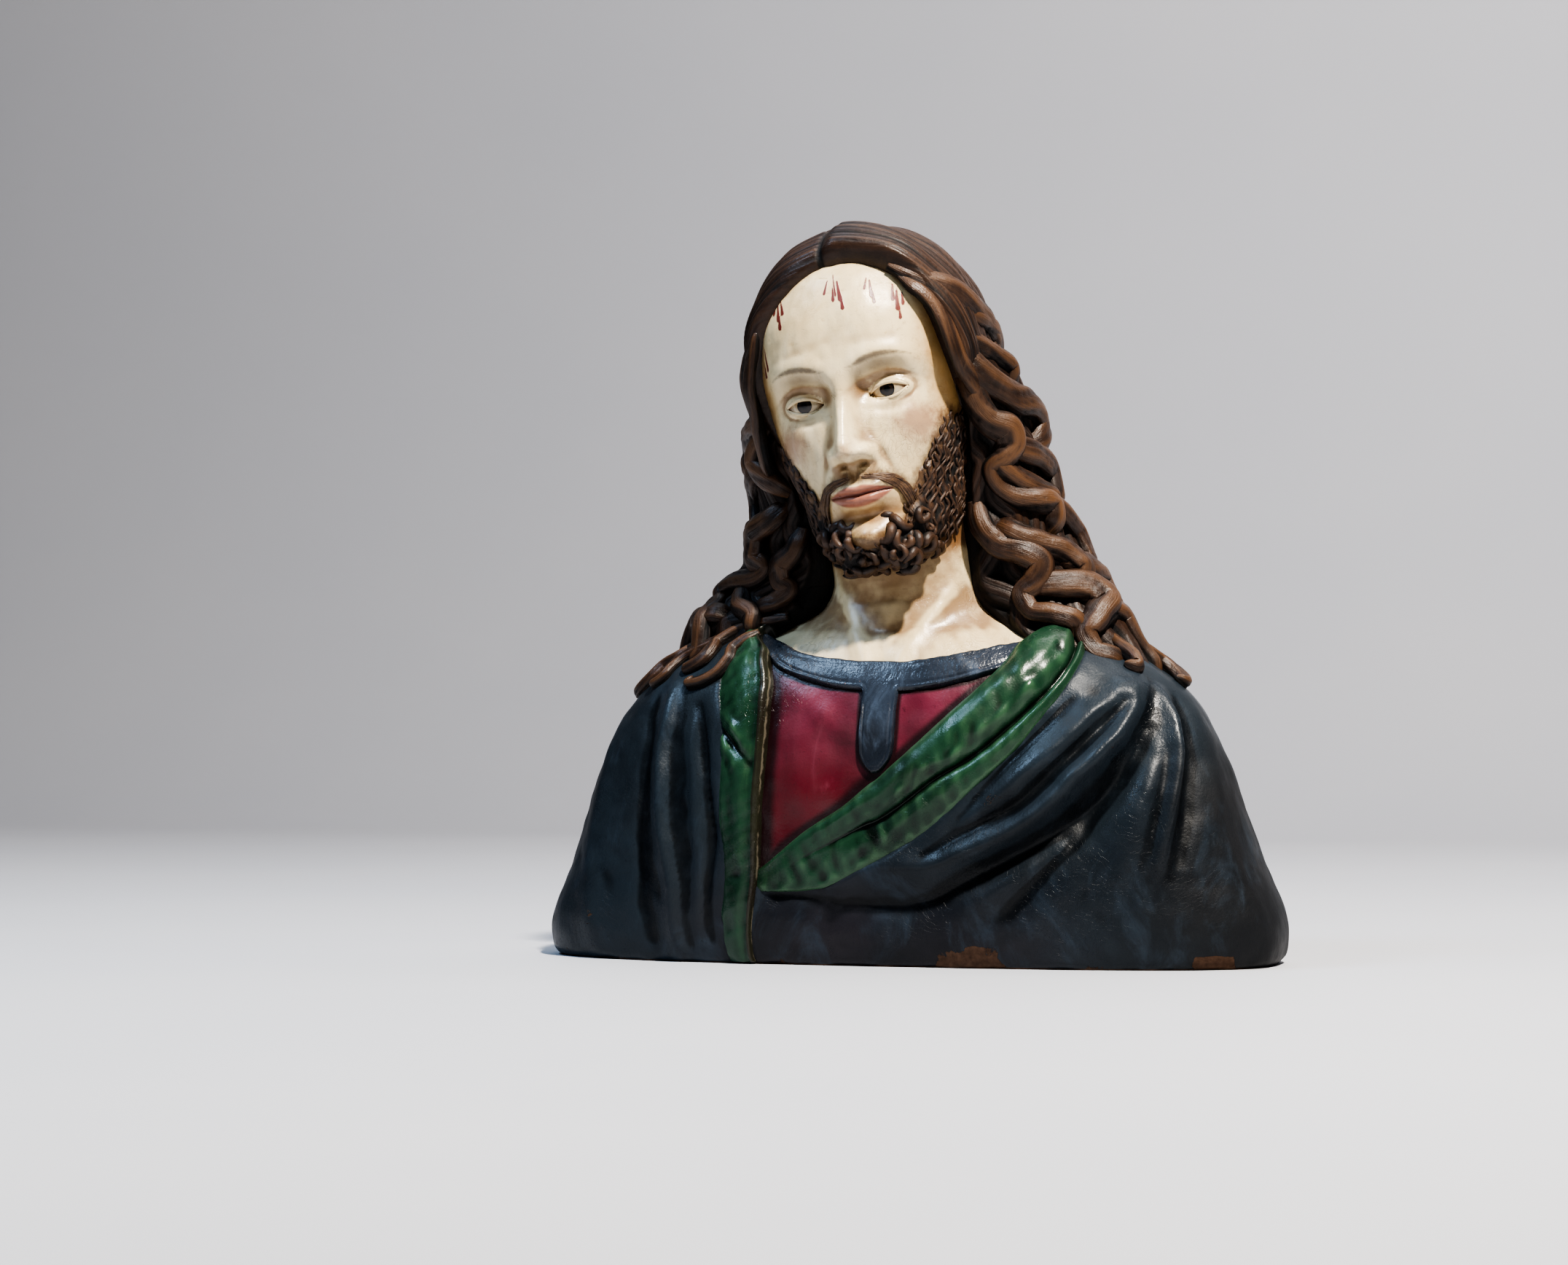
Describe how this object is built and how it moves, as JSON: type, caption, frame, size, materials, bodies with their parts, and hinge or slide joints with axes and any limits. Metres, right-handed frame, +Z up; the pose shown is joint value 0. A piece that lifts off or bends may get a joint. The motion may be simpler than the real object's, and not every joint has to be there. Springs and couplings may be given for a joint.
{
  "type": "sculpted bust",
  "caption": "Life-size painted bust of a bearded, long-haired man, head leaning to one side, in a mantle with turned-out lapels, standing on its flat underside.",
  "frame": {"origin": "on the flat underside, midway between the upper arms", "axes": "+Z up, +X towards the right of someone facing the bust, -Y towards that person"},
  "size_m": [0.5685, 0.2496, 0.5581],
  "materials": {
    "mantle_paint": "old varnished paint, worn to bare clay on the edges",
    "lining_paint": "old varnished paint, glossy",
    "tunic_paint": "old varnished paint, satin",
    "flesh_paint": "old varnished paint, satin",
    "hair_paint": "old varnished paint, satin"
  },
  "bodies": {
    "root": {"bust": "mantle_paint"}
  },
  "joints": []
}
